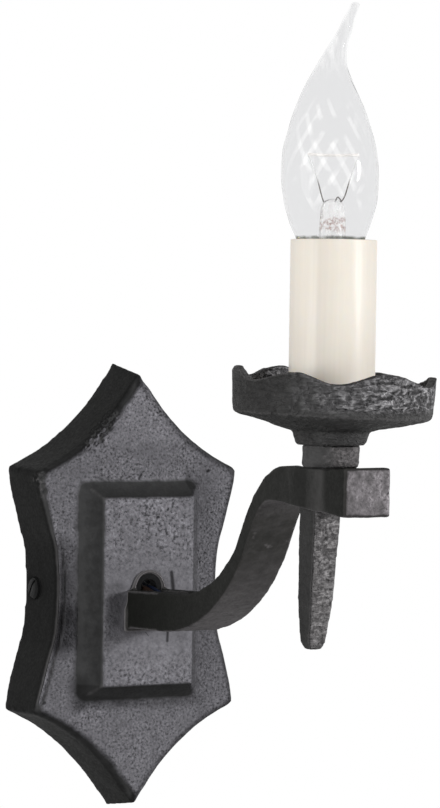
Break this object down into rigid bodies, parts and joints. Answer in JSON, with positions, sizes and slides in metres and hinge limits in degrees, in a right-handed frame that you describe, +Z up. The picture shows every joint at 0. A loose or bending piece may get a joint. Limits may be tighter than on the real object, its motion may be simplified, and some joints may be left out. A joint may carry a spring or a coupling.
{
  "type": "torch sconce",
  "caption": "Iron wall light shaped like a torch: pointed hexagonal back plate, curved arm with a spike below, scalloped drip pan, candle sleeve and bent-tip lamp.",
  "frame": {"origin": "centre of the back plate in the wall plane, midway between the two wall screw holes", "axes": "+Z up, +Y into the wall, so the light stands out towards -Y; +X is to the right of a person who faces the wall"},
  "size_m": [0.0852, 0.1983, 0.288],
  "materials": {
    "cast_iron": "rough dark casting, waxed black",
    "screw_steel": "blackened steel",
    "zinc_steel": "zinc plated, satin",
    "tinned_copper": "tinned, satin",
    "brass": "plain brass, satin",
    "rubber": "matte",
    "block_plastic": "moulded, off white",
    "holder_ceramic": "white glaze",
    "earth_insulation": "green and yellow insulation",
    "live_insulation": "brown insulation",
    "neutral_insulation": "blue insulation",
    "sleeve": "cream, matte",
    "cap_metal": "thin rolled sheet, bright",
    "cap_glass": "black glass",
    "clear_glass": "clear",
    "stem_glass": "clear, drawn",
    "lamp_wire": "dull"
  },
  "bodies": {
    "sconce": {"wall_bracket": "zinc_steel", "clinch_nuts": "zinc_steel", "backplate": "cast_iron", "side_screws": "screw_steel", "cable_grommet": "rubber", "terminal_block": "block_plastic", "terminal_barrels": "brass", "clamp_screws": "zinc_steel", "block_screw": "zinc_steel", "earth_screws": "brass", "earth_washers": "zinc_steel", "ring_terminals": "tinned_copper", "earth_lead": "earth_insulation", "live_wire": "live_insulation", "neutral_wire": "neutral_insulation", "arm": "cast_iron", "arm_bolts": "screw_steel", "arm_washers": "zinc_steel", "spike": "cast_iron", "neck_collar": "cast_iron", "drip_pan": "cast_iron", "threaded_tube": "zinc_steel", "locknut_washer": "zinc_steel", "locknut": "brass", "holder_bracket": "zinc_steel", "holder_rivet": "zinc_steel", "lampholder_body": "holder_ceramic", "lampholder_shell": "brass", "centre_contact": "brass", "wire_screws": "brass", "candle_sleeve": "sleeve"},
    "lamp_cap": {"bulb_cap": "cap_metal", "cap_insulator": "cap_glass", "cap_contact": "cap_metal"},
    "lamp_glass": {"bulb_glass": "clear_glass", "bulb_stem": "stem_glass", "lead_wires": "lamp_wire", "filament": "lamp_wire"}
  },
  "joints": [
    {"name": "bulb_travel", "type": "slide", "parent": "sconce", "child": "lamp_cap", "axis": [0, 0, 1], "range_m": [0, 0.0113]},
    {"name": "bulb_turn", "type": "hinge", "parent": "lamp_cap", "child": "lamp_glass", "pos_m": [0, -0.1645, 0.12], "axis": [0, 0, 1], "range_deg": [0, 1440]}
  ],
  "couplings": [
    {"joint": "bulb_travel", "follows": "bulb_turn", "m_per_rad": 0.00044913}
  ]
}
